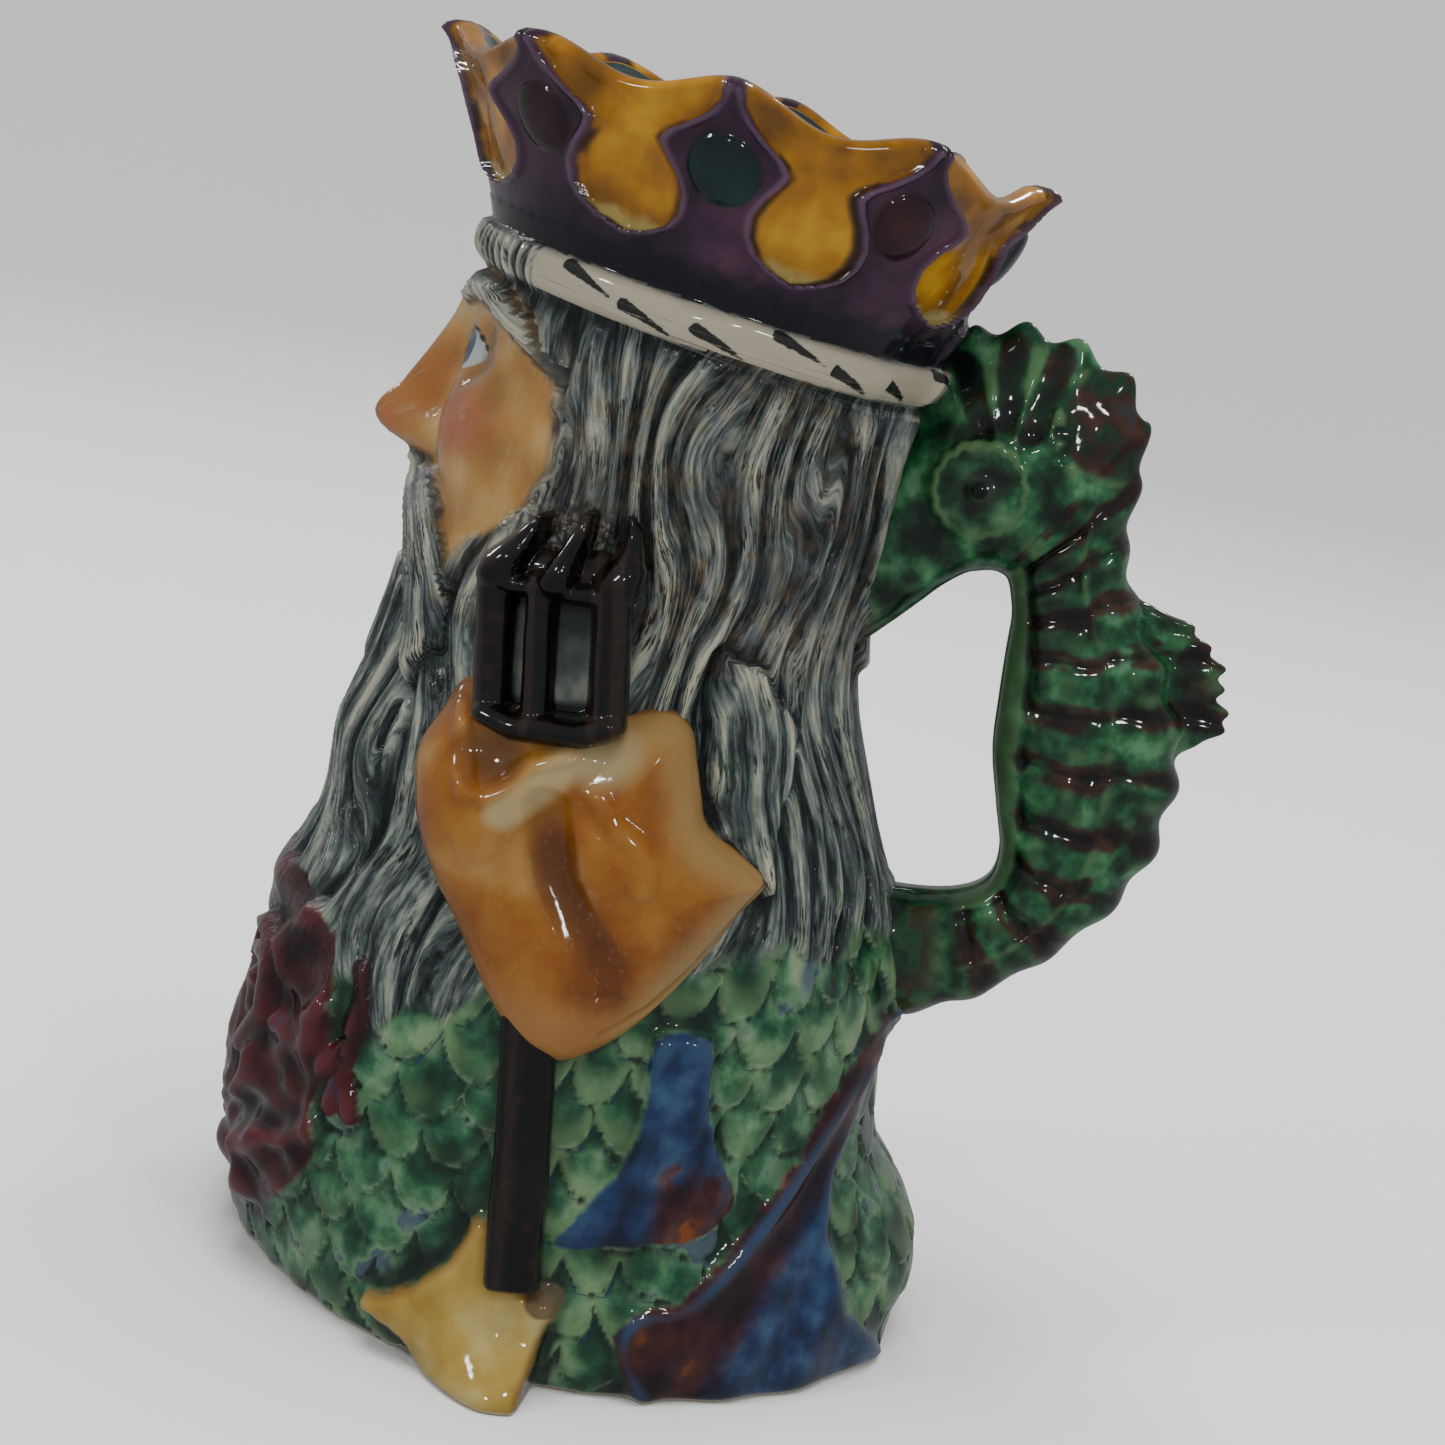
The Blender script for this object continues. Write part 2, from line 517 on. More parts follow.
class Clay:
    """The outer skin as it is carved: each place on the plain body, the height on it, and its paint layers."""

    def __init__(self, turn, z):
        centre, long, half = section(z)
        c, s = np.cos(np.radians(turn)), np.sin(np.radians(turn))
        self.turn, self.z, self.x, self.y = turn, z, centre - long * c, -half * s
        self.out_x, self.out_y = -c / long, -s / half
        self.near, self.around = turn > 0, np.abs(turn)
        self.hidden = np.where(self.near, 0.0, FAR_AWAY)
        self.front = np.where(self.x < 0, 1.0, 0.0)
        self.height, self.paint = None, {}

    def lay(self, piece, inside, soft=0.9):
        self.height = lay(self.height, piece, inside, soft)

    def outer(self, nose):
        """The carved surface, with the nose pushed forwards."""
        size = np.hypot(self.out_x, self.out_y)
        return self.x + self.out_x / size * self.height - nose, self.y + self.out_y / size * self.height


def coat_hair_and_face(clay):
    """Scales below the hem, face in front, and hair and beard round it. Gives the nose's push."""
    turn, x, y, z, near, around, paint = clay.turn, clay.x, clay.y, clay.z, clay.near, clay.around, clay.paint
    moved = np.where(near, 0.0, np.sin(np.radians(turn)) ** 2)
    u, v = np.radians(around) * HEAD_RADIUS + 7 * moved, z + 9 * moved
    hair_lock, hair_flow = locks(u, v, 6.4, 2.6, 46, 3)
    beard_lock, beard_flow = locks(np.where(x < 0, np.radians(turn) * HEAD_RADIUS, u), z, 8.5, 3.2, 40, 7)
    coat = 1.0 + 1.0 * fish_scales(u * 1.21 + 1.6 * drift(u / 9, z / 9, 5), z + 1.3 * drift(u / 8, z / 8, 6),
                                   9.2, 7.0, paint)
    coat += 3.2 * stroke(x, z, TAIL_ROLL, 11.0) * np.where(near, smooth(150, 180, around), 1.0)

    clay.hem = 47 + 18 * smooth(60, 112, around) + 3.0 * drift(u / 4.5, 0 * z, 11)
    face_edge = np.interp(z, [112, 116, 119, 123, 128, 136, 142, 147, 152], [45, 51, 58, 65, 68, 68, 61, 52, 44])
    face_edge = face_edge + 1.6 * drift(z / 3.5, 0 * z, 61)
    chin = 110 - 0.024 * np.clip(np.abs(y) - 4, 0, None) ** 2 + 6 * smooth(14, 32, np.abs(y))
    beard_share = smooth(chin + 1.5, chin - 1.5, z) * smooth(66, 58, around)
    hair_share = np.clip(smooth(face_edge - 3, face_edge + 3, around)
                         + smooth(58, 66, around) * smooth(118, 112, z), 0, 1)

    height, nose = face(y, z, paint)
    height = height * (1 - beard_share) + (0.8 + 2.8 * beard_lock) * beard_share
    height = height * (1 - hair_share) + (0.6 + 2.0 * hair_lock) * hair_share
    below = smooth(clay.hem + 1.0, clay.hem - 1.0, z)
    clay.height = height * (1 - below) + coat * below
    clay.strand = hair_flow * hair_share + beard_flow * (1 - hair_share)
    clay.hairy = (np.maximum(beard_share, hair_share) - 0.5) * 3.0
    clay.forehead_lock = (1 - hair_share) * beard_lock
    return nose * clay.front * smooth(62, 40, around)

# %% Brows, moustache, forehead hair and the lock that curls beside the trident
def brows_and_curl(clay):
    """Lays the loose hair over the face, and keeps where hair is and how its strands run."""
    x, y, z, paint = clay.x, clay.y, clay.z, clay.paint
    brow, moustache, lips, across = brow_and_mouth(y, z)
    brow, moustache, lips = brow * clay.front - 0.3, moustache * clay.front - 0.3, lips * clay.front - 0.3
    paint["lips"] = np.minimum(lips - clay.height, 0.9 - moustache)
    clay.height = heap(clay.height, lips)
    for laid, run in ((moustache, across * 2.6), (brow, (z + np.abs(y) * 0.5) * 2.0)):
        over = smooth(-0.4, 0.4, laid - clay.height)
        clay.strand = clay.strand * (1 - over) + run * over
        clay.hairy = np.maximum(clay.hairy, np.minimum(laid - clay.height, laid))
        clay.height = heap(clay.height, laid)

    hairline = np.interp(np.abs(y), [0, 6, 12, 20, 27, 33], [152.5, 153.5, 154.5, 153.0, 149.5, 145.0])
    forehead = np.where(x < 0, z - hairline, -9.0)
    clay.hairy = np.maximum(clay.hairy, forehead)
    clay.height += 1.6 * smooth(-0.5, 2.5, forehead) * clay.forehead_lock

    curl, domed = swelling(x + 0.8 * drift(z / 6, x / 9, 33), z, CURL)
    curl_strand = away_from(x, z, [(at_x - 10, at_z) for at_x, at_z, _ in CURL])
    clay.lay(1.4 + 3.4 * domed + 0.3 * np.sin(curl_strand * 2.8), curl + clay.hidden, 1.0)
    clay.height -= 2.0 * stroke(x, z, [(9.5, 107), (8.0, 98), (9.6, 91), (12.0, 84)], 2.2) * clay.near
    over = smooth(-0.5, 1.0, curl + clay.hidden)
    paint.update(hair=np.minimum(clay.hairy, z - clay.hem), skin=z - 104, run=z,
                 strand=clay.strand * (1 - over) + (curl_strand * 1.3 + 80) * over,
                 soot=bump(x + 13, z - 119.5, 14, 9) + 0.02 * clay.hidden)

# %% Crown, fins, crab, starfish and the handle's roots
def crown_and_sea_life(clay):
    """Lays on what stands in front of the body."""
    x, y, z, turn, paint = clay.x, clay.y, clay.z, clay.turn, clay.paint
    fur = z - band_height(x)
    flush = np.where(x > -30, smooth(-5.8, -9.5, fur), 1.0)
    height = heap((1.2 + (clay.height - 1.2) * flush) * smooth(0.5, -0.5, fur), fur_band(x, z, turn, paint))
    above = smooth(-0.5, 0.5, fur)
    clay.height = height * (1 - above) + crown(x, z, turn, paint) * above

    clay.height -= 2.6 * bump(clay.around - 40, z + 3, 34, 24)
    small_fin = depth_inside(x, z, SMALL_FIN)
    clay.lay(2.3 + 0.25 * np.sin((x - 30) * 1.5 - (z - 60) * 0.35) + 0.06 * (z - 22), small_fin)
    tail_fin = depth_inside(x, z, TAIL_FIN) - np.where(clay.near, 0.0, 0.55 * (180 - clay.around))
    fan = np.degrees(np.arctan2(z - 66, x - 50))
    clay.lay(2.4 + 0.9 * line_at(tail_fin, 1.2, 1.2) + 0.4 * np.sin(fan * 0.75), tail_fin)
    crab = depth_inside(x, z, RED_CRAB)
    side = along(x, z, (-36, 46), (-60, 4))[1] + 4.5 * drift(x / 9, z / 9, 17) + 1.2 * drift(x / 4, z / 4, 18)
    fold = 0.5 + 0.5 * np.cos(2 * math.pi * side / 8.5)
    clay.lay((2.2 + 2.4 * fold**1.6 + 0.9 * drift(x / 3.5, z / 3.5, 19)) * smooth(-2, 16, z), crab)
    clay.height = crab_front(y, z, clay.height, clay.front)
    coral = np.max([1.7 - away_from(x, z, twig) for twig in CORAL], 0)
    clay.lay(clay.height + 1.6 * dome(coral / 1.7), coral, 0.4)

    star, star_height = starfish(x, z)
    clay.lay(star_height, star + clay.hidden, 1.0)
    shell = 2.2 - np.hypot((x - SHELL[0]) * 0.8, z - SHELL[1]) + clay.hidden
    clay.lay(clay.height + 1.1 * dome(shell / 2.2), shell, 0.5)
    clay.lay(2.0, depth_inside(x, z, HAND) + clay.hidden - 2.0, 1.0)
    root = np.hypot(y / 8.4, (z - 61.3) / 11.2)
    neck = np.hypot(y / (3.6 + 5.0 * smooth(104, 140, z)), np.clip(np.abs(z - 131) - 22, 0, None) / 5.0)
    for ring in (root, neck):
        clay.height += np.where(x > 10, 2.0 * np.exp(-np.clip(ring - 1, 0, None) * 4.5), 0.0)
    paint.update(small_fin=small_fin, tail_fin=tail_fin, crab=crab, coral=coral, star=star + clay.hidden, shell=shell)

# %% [markdown]
# ## Rings into a closed mesh
#
# Every piece is made of rings of points, each ring joined to the next by quads and the two end rings closed by a
# lid. It needs no Boolean and gives even, clean faces. A lid of many corners is fine here, because it always lies
# hidden. The paint layers go in as point attributes, so a material can read them.

# %% Closed skins
def blurred(grid, reach):
    """The grid averaged over its neighbours, round each ring and from ring to ring."""
    total = sum(np.roll(grid, k, 1) for k in range(-reach, reach + 1)) / (2 * reach + 1)
    padded = np.pad(total, ((reach, reach), (0, 0)), mode="edge")
    return sum(padded[k:k + len(grid)] for k in range(2 * reach + 1)) / (2 * reach + 1)


def closed_skins(name, *parts):
    """One object from closed skins, each a pair of rings in mm and its paint layers."""
    low, high = np.array(cad_low) / MM + 0.03, np.array(cad_high) / MM - 0.03
    points, faces, start = [], [], 0
    for rings, _ in parts:
        count, sides, _ = rings.shape
        i, j = np.meshgrid(np.arange(count - 1), np.arange(sides), indexing="ij")
        a, k = start + i * sides, (j + 1) % sides
        faces += np.stack([a + j, a + k, a + sides + k, a + sides + j], -1).reshape(-1, 4).tolist()
        faces += [[start + n for n in reversed(range(sides))],
                  [start + (count - 1) * sides + n for n in range(sides)]]
        points.append(np.clip(rings, low, high).reshape(-1, 3))
        start += count * sides
    mesh = bpy.data.meshes.new(name)
    mesh.from_pydata((np.concatenate(points) * MM).tolist(), [], faces)
    mesh.shade_smooth()
    for layer in parts[0][1]:
        values = np.concatenate([np.broadcast_to(paint[layer], rings.shape[:2]).ravel() for rings, paint in parts])
        mesh.attributes.new(layer, "FLOAT", "POINT").data.foreach_set("value", values.astype(np.float32))
    piece = bpy.data.objects.new(name, mesh)
    bpy.context.scene.collection.objects.link(piece)
    print(name, "has", sum(len(face) - 2 for face in faces), "triangles and", len(parts[0][1]), "paint layers")
    return piece

# %% [markdown]
# ## Body and crown
#
# The jug is cut in two under the ermine band, where no one sees it. The body is the carved skin from the foot to
# the band, with a hidden back inside the wall. The crown goes from the band over the rounded rim and down the smooth
# inside to the floor. The columns stand closer together on the side of the trident and on the face.

# %% Columns and the body's skin
COLUMNS, BODY_ROWS = 556, 160
even = np.linspace(-180, 180, 2000)
density = 0.70 + 0.42 * smooth(-75, -45, even) * smooth(178, 150, even)
turns = np.interp(np.arange(COLUMNS) / COLUMNS, np.cumsum(density) / density.sum(), even)
co, si = np.cos(np.radians(turns)), np.sin(np.radians(turns))


def oval(level, draw_in):
    """A ring of the plain body at a level, drawn in by some millimetres."""
    centre, long, half = section(level * np.ones(COLUMNS))
    return np.stack([centre - (long - draw_in) * co, -(half - draw_in) * si, level * np.ones(COLUMNS)], -1)


def band_at(level):
    """Height of the fur band's top over each column."""
    return band_height(-4 - 40.0 * co) + level


def carved(levels):
    """Carved rings at levels, with their paint layers and how far each place stands out from its surroundings."""
    clay = Clay(np.broadcast_to(turns, levels.shape), levels)
    nose = coat_hair_and_face(clay)
    brows_and_curl(clay)
    crown_and_sea_life(clay)
    clay.paint["ridge"] = clay.height - blurred(clay.height, 5)
    return np.stack([*clay.outer(nose), levels], -1), clay.paint


def with_blank(paint, before, after):
    """Paint layers with blank rings before and after."""
    blank = {"strand": 0.0, "run": 0.0, "ridge": 0.0, "scale_up": 4.0, "scale_gap": 9.0}
    return {name: np.concatenate([np.full((before, COLUMNS), blank.get(name, FAR_AWAY)), values,
                                  np.full((after, COLUMNS), blank.get(name, FAR_AWAY))])
            for name, values in paint.items()}


top = band_at(-3.6)
levels = top * np.linspace(0, 1, BODY_ROWS)[:, None]
rings, paint = carved(levels)
rings[0] *= (0.992, 0.992, 1)
back_rings = np.stack([oval(top * part + 2.5 * (1 - part), 2.7) for part in (1.0, 0.8, 0.6, 0.4, 0.2, 0.0)])
body = closed_skins("sea_king_body", (np.concatenate([rings, back_rings]), with_blank(paint, 0, len(back_rings))))

# %% Crown, rim and lining
RIM_ROUND, CROWN_ROWS = 1.7, 92
bottom, top = band_at(-7.4), rim_height(turns) - RIM_ROUND
levels = bottom + (top - bottom) * np.linspace(0, 1, CROWN_ROWS)[:, None]
rings, paint = carved(levels)
hidden_rings = [oval(5.0, 30), oval(5.0, 3.4)]
hidden_rings += [oval(5 + (bottom - 5) * part, 3.4) for part in (0.25, 0.5, 0.75, 1)]
edge, lip = rings[-1], oval(top, WALL)
over_rim = []
for angle in np.radians([30, 65, 100, 135, 165]):
    way = 0.5 - 0.5 * math.cos(angle)
    ring = edge * (1 - way) + lip * way
    ring[:, 2] = top + RIM_ROUND * math.sin(angle)
    over_rim.append(ring)
inner = [oval(FLOOR + 3 + (top - FLOOR - 3) * part, WALL) for part in np.linspace(1, 0, 15)]
inner += [oval(FLOOR + up, WALL + draw_in) for draw_in, up in ((1.2, 1.2), (3.5, 0.3), (9, 0), (26, 0))]
paint = with_blank(paint, len(hidden_rings), len(over_rim) + len(inner))
first = len(hidden_rings) + CROWN_ROWS
for name in ("crown_up", "strap"):
    paint[name][first:first + len(over_rim)] = paint[name][first - 1]
paint["inside"] = np.full(paint["ridge"].shape, -9.0)
paint["inside"][first:] = np.append(np.linspace(-1, 2, len(over_rim)), np.linspace(2, 150, len(inner)))[:, None]
crown_piece = closed_skins("crown_and_lining", (np.concatenate(
    [np.stack(hidden_rings), rings, np.stack(over_rim), np.stack(inner)]), paint))

# %% [markdown]
# ## Hand and trident as laid-on clay
#
# A place on the near side is named by its x and z, and the piece stands out from the body there. The hand's rings
# are its outline drawn in step by step towards its middle. The shaft is a loft, a rounded box carried up a line. The
# head looks half melted, so it is a heap of soft strokes, with each row of points trimmed to its outline. The floor
# of its two slots is sunk to the hair, and is glazed like it.

# %% Standing on the body
def on_body(x, z, height):
    """Points that stand out from the plain body's near side by a height, over a place in x and z."""
    centre, long, half = section(z)
    c = np.clip((centre - x) / long, -1, 1)
    s = np.sqrt(1 - c * c)
    out = np.stack([-c / long, -s / half], -1)
    out /= np.linalg.norm(out, axis=-1, keepdims=True)
    return np.stack([x + out[..., 0] * height, -half * s + out[..., 1] * height, z], -1)


HAND_MIDDLE = np.array([-5.0, 73.0])
outline = rounded(HAND, 16)
steps = np.concatenate([[0.96, 1.0, 1.0], 1 - np.linspace(0, 1, 84)[1:-1] ** 1.5])
spread = HAND_MIDDLE + (outline - HAND_MIDDLE) * steps[:, None, None]
x, z = spread[..., 0], spread[..., 1]
depth = depth_inside(x, z, HAND)
height = hand_relief(x, z, depth)
height[0], height[1], height[2] = -2.2, -1.5, 0.0
paint = {"depth": np.clip(depth, 0, None), "low": smooth(64, 52, z), "ridge": height - blurred(height, 6),
         "fold": stroke(x, z, FOLD, 4.2) * (0.35 + 0.65 * smooth(60, 74, z)) * smooth(88, 76, z),
         "pocket": bump(x + 16.3, z - 88.5, 7, 7), "wrist": smooth(11, 1, depth) * smooth(-9, 7, x + 0.35 * (z - 75)),
         "cream": np.maximum(bump(x + 4, z - 92, 9, 8), stroke(x, z, [(-6, 92), (-9, 87), (-13, 81.5)], 3.2))}
paint["ridge"][:9] = 0
hand = closed_skins("closed_hand", (on_body(x, z, height), paint))

# %% Trident shaft
def bar(rows):
    """A loft up the shaft's line: rows of place along it, half width, height and squareness."""
    lap = 2 * math.pi * (np.arange(64) + 0.5) / 64
    c, s = np.cos(lap), np.sin(lap)
    far, half, high, square = (np.array(column)[:, None] for column in zip(*rows))
    across = half * np.sign(c) * np.abs(c) ** (2 / square)
    height = np.where(s > 0, high * np.abs(s) ** (2 / square), -1.5 * np.abs(s))
    rings = on_body(*on_trident(across, far + 0 * across), height)
    return rings, {"crest": 0.8 * line_at(across, -1.6, 0.9) * (s > 0), "slot": 0 * across}


shaft = [(1.6, 3.0, 2.0, 5), (1.7, 3.6, 7.2, 5)] + [
    (at, 3.9, 5.2 + 2.8 * float(smooth(24, 10, at)), 4) for at in np.linspace(2.4, 79, 90)]

# %% Trident head
HEAD_STROKES = [
    ([(-6.9, 6, 2.7), (-6.9, 24, 2.6)], 3.4, 5.3), ([(-1.1, 5, 2.3), (-1.1, 24, 2.2)], 3.4, 5.0),
    ([(7.5, 6, 2.8), (7.5, 24, 2.7)], 3.4, 5.3),
    ([(-6.8, 5.4, 2.4), (-3.5, 4.2, 2.6), (4.5, 4.0, 2.6), (7.8, 5.4, 2.5)], 3.6, 6.2),
    ([(-6.5, 23.4, 2.0), (-1, 23.4, 1.9), (3.5, 23.0, 1.9), (8, 23.0, 2.2)], 3.4, 4.6),
    ([(-3, 25.5, 3.4), (5, 25.5, 3.8)], 2.0, 3.4),
    ([(-6.3, 24.6, 3.1), (-5.8, 26.6, 3.0), (-4.5, 29, 2.3), (-3.2, 31.3, 1.5), (-2.3, 33.2, 0.8)], 2.6, 7.2),
    ([(0.9, 24.4, 2.9), (1.6, 26.6, 2.3), (2.3, 28.8, 1.8), (3.2, 31.5, 1.4), (4.0, 33.8, 1.0)], 2.6, 7.2),
    ([(8.1, 24.6, 3.4), (9.0, 26.8, 2.8), (9.6, 29.2, 1.9), (9.8, 31.6, 1.4), (9.4, 33.8, 0.8)], 2.6, 6.8)]
SUNK = -2.2


def trident_head(side, up):
    """Height of the melted-looking head: a soft heap of strokes over the floor of its two slots."""
    box = np.minimum(9.2 - np.abs(side - 0.3), np.minimum(up - 4, 24 - up))
    height = SUNK + (4.4 - SUNK) * smooth(-0.4, 0.4, box)
    for rows, low, rise in HEAD_STROKES:
        inside, domed = swelling(side, up, rows)
        droop = 1 - 0.5 * smooth(25, 34, up)
        height = heap(height, SUNK + ((low + rise * domed) * droop - SUNK) * smooth(-0.35, 0.35, inside), 0.9)
    return height


FACE_POINTS, BACK_POINTS = 141, 12
up, tries = np.arange(0.9, 35.2, 0.16), np.linspace(-11, 13, 481)
there = trident_head(*np.meshgrid(tries, up)) > SUNK + 0.2
up, there = up[there.any(1)], there[there.any(1)]
left, right = tries[there.argmax(1)] - 0.2, tries[::-1][there[:, ::-1].argmax(1)] + 0.2
part = np.append(np.linspace(1, 0, FACE_POINTS), np.linspace(0, 1, BACK_POINTS + 2)[1:-1])
side = left[:, None] + (right - left)[:, None] * part
up = up[:, None] + 0 * side
height = trident_head(side, up) + 0.2 * drift(side / 2.5, up / 4, 41)
height[:, FACE_POINTS:] = SUNK - 0.6
worn = np.max([line_at(side, at, 0.7) for at in (-7.6, -1.6, 5.9, 8.4)], 0) * smooth(1, 6, up)
slot = smooth(5.8, 4.9, height) * smooth(5.5, 9.5, up) * smooth(22.5, 19, up) * smooth(10, 9, np.abs(side))
paint = {"crest": np.maximum(worn, 0.9 * bump(side - 3.6, up - 32.5, 1.6, 2.5)), "slot": slot}
trident = closed_skins("trident", bar(shaft), (on_body(*on_trident(side, up + TRIDENT_HEAD_AT), height), paint))

# %% [markdown]
# ## The sea horse
#
# The handle is a sea horse whose snout and tail meet the king's hair and back. Its outline is a row of ribs from
# the inner to the outer edge, and a lap goes round each rib. Plates cross the body, split by a seam along its side;
# a fan of rays stands behind the head, and a ring of scallops round the eye. Its ends are pulled in so that they
# finish inside the wall.

# %% Ribs of the sea horse
HANDLE_THICKNESS = 20.0
HANDLE_RINGS, HANDLE_SIDES = 420, 130
RIBS = np.array([
    (26, 71.5, 28, 50, 0.78), (35, 71, 37, 50.5, 0.80), (45, 71.5, 47.5, 52, 0.84), (51.5, 73, 57.5, 57.2, 0.88),
    (55.3, 76, 67, 65.5, 0.94), (55.8, 81, 74.8, 75, 0.98), (53.8, 88, 79.2, 85, 1.00), (51.6, 96, 80.2, 95.5, 1.00),
    (50.9, 104, 79.0, 105, 0.98), (50.5, 111, 74.8, 114, 0.92), (50.3, 116.4, 69, 122, 0.82),
    (49.6, 119.5, 65.4, 130, 0.76), (48.5, 122.2, 65.2, 139, 0.78), (47, 123, 64.6, 148, 0.82),
    (45.5, 123, 60.3, 155, 0.86), (44, 122.6, 52, 158.8, 0.88), (42, 121.8, 43.5, 159.8, 0.88),
    (39, 119.3, 35.5, 157.5, 0.84), (36, 116, 28.5, 148, 0.76), (32.3, 112, 22, 134, 0.64),
    (28.2, 108, 17, 120, 0.52), (24, 105.5, 16, 111, 0.42),
])
HORSE_EYE = (41.6, 135.4)
CREST = [((40, 144.5), (35.5, 153)), ((43.5, 146), (42.5, 157)), ((47.5, 145.5), (50, 157))]
FAN = (55.5, 146.0)
print("The sea horse is", round(RIBS[:, 3].max()), "mm high to its crest, and", RIBS[:, 2].max(), "mm out at its fin")

# %% Surface of the sea horse
def sea_horse(share, lap):
    """The sea horse's surface and paint: share runs from tail to snout, lap goes once round."""
    rib = share * (len(RIBS) - 1)
    steps = np.arange(len(RIBS), dtype=float)
    inner_x, inner_z, outer_x, outer_z, thick = (through(steps, RIBS[:, k], rib) for k in range(5))
    long = np.hypot(outer_x - inner_x, outer_z - inner_z)
    wide = long * (1 + 0.03 * np.cos(rib * 2 * math.pi))
    fin = 8.6 * smooth(7.3, 8.4, rib) * smooth(10.15, 9.5, rib) * (0.92 + 0.08 * np.cos(rib * 6 * math.pi))
    across = (1 - np.cos(lap)) / 2 * (wide + fin)
    body = np.clip(1 - np.abs(2 * across / wide - 1) ** 2.4, 0, 1) ** (1 / 2.4)
    plate = 2.4 * dome(1 - (across / (wide + fin)) ** 6)
    part = across / long
    x, z = inner_x + (outer_x - inner_x) * part, inner_z + (outer_z - inner_z) * part
    head, tail = smooth(11.0, 13.0, rib), smooth(2.9, 2.0, rib) * smooth(-0.5, 0.5, rib)
    trunk = smooth(2.2, 3.2, rib) * smooth(13.0, 12.0, rib)

    ring = rib - 0.18 * smooth(0.56, 0.68, part) + 0.05 * drift(part * 6, rib * 2, 2)
    fold = 1 - np.abs(2 * (ring - np.floor(ring)) - 1) ** 2.5
    detail = trunk * ((0.9 * fold - 0.7) * smooth(0.06, 0.2, part) + 0.3 * line_at(part, 0.62, 0.035)
                      - 0.5 * line_at(part, 0.16, 0.03))
    detail += tail * 0.8 * drift(x / 4.5, z / 4.0, 41) + 0.35 * drift(x / 3.2, z / 3.2, 47)

    eye_x, eye_z = x - HORSE_EYE[0], z - HORSE_EYE[1]
    to_eye, angle = np.hypot(eye_x, eye_z), np.arctan2(eye_z, eye_x)
    scallops = line_at(to_eye, 6.6 + 0.45 * np.abs(np.sin(angle * 8)), 0.7)
    rays = np.max([stroke(x, z, ray, 2.7) for ray in CREST], 0)
    fan = bump(x - 59, z - 148.5, 9.5, 10.5)
    fan_rays = 0.45 * np.cos(7 * np.arctan2(z - FAN[1], x - FAN[0])) * smooth(0.5, 0.1, fan)
    detail += head * (hills(eye_x, eye_z, [(0, 0, 8.8, 8.8, 1.3), (0, 0, 5.5, 5.5, -0.6), (0, 0, 2.6, 2.6, 1.1),
                                           (4.4, -5.9, 10, 9, 1.8)])
                      + 0.7 * scallops * smooth(-2.2, -0.6, np.sin(angle - 0.5) * 3) - 1.1 * rays
                      + smooth(0.03, 0.12, fan) * (fan_rays - 0.8 * fan))

    crest = 1 - 0.5 * head * smooth(0.5, 1.0, part)
    flat = np.maximum(thick * HANDLE_THICKNESS / 2 * body * crest, plate)
    y = flat + detail * smooth(0.0, 0.45, body) * crest + 0.35 * np.cos(z * 1.55) * (part > 1.02) * (plate > 1.2)
    y = np.maximum(y, 0.02) * np.sign(np.sin(lap) + 1e-12) * (np.abs(np.sin(lap)) > 1e-6)

    stripe = 9 * (0.22 + 0.10 * drift(rib * 3, part * 5, 43) - np.abs((ring + 0.5) % 1.0 - 0.5))
    stripe = np.where((rib > 2.6) & (rib < 13.2), stripe, -4.0) - 3.0 * smooth(0.16, 0.06, part)
    paint = {"stripe": stripe, "horse_eye": to_eye, "head": head, "crest_ray": rays * head, "fan": fan * head,
             "belly": smooth(0.17, 0.10, part) * trunk, "back_fin": smooth(1.0, 1.12, part), "tail": tail,
             "snout": smooth(18.4, 20.2, rib), "eye_scallop": scallops * head}
    return x, y, z, detail, paint

# %% Skin of the sea horse, pulled in where it meets the body
laps = 2 * math.pi * np.arange(HANDLE_SIDES) / HANDLE_SIDES
laps = laps + 0.22 * np.sin(2 * laps)
shares = np.linspace(0, 1, HANDLE_RINGS)[:, None] * np.ones(HANDLE_SIDES)
x, y, z, detail, paint = sea_horse(shares, laps + 0 * shares)
centre, long, half = section(np.clip(z, 0, 190))
reach = np.hypot((x - centre) / (long - 2.0), y / (half - 2.0))
pull = np.where(reach < 1, 1 / np.maximum(reach, 0.05), 1.0)
x, y = centre + (x - centre) * pull, y * pull
paint["ridge"] = detail - blurred(detail, 7)
horse = closed_skins("sea_horse_handle", (np.stack([x, y, z], -1), paint))

# %% [markdown]
# ## Colours of glaze
#
# Majolica colours are metal oxides in a lead or tin glaze: copper gives the sea greens, cobalt the blues,
# manganese the violets and blacks, iron the ambers. Their values here are sRGB hex codes, as a painter would pick
# them, turned to the linear numbers that Blender mixes light in.

# %% Colours from hex codes
def glaze_colour(code):
    """A linear colour from an sRGB hex code."""
    parts = [int(code[i:i + 2], 16) / 255 for i in (1, 3, 5)]
    return (*[p / 12.92 if p <= 0.04045 else ((p + 0.055) / 1.055) ** 2.4 for p in parts], 1.0)

# %% [markdown]
# ## How glaze is brushed on and melts
#
# A painted edge isn't a clean line: the brush wanders, and the glaze bleeds a little when it melts. So a stroke
# takes a layer's depth, shakes it with noise of about 3 mm, and turns it into a soft step. Where the glaze lies
# thick it is darker, in clouds of about 12 mm.
#
# Under all this is a matt pigment with no gloss of its own; the gloss is one clear coat, as on the real piece,
# where the oxide colours lie inside the glass. Its index is that of lead glass, about 1.5, and it is very smooth.

# %% Brushing and firing
DEEPER = 1.17  # a colour looks deeper under clear glass than bare, as a pebble does when wet


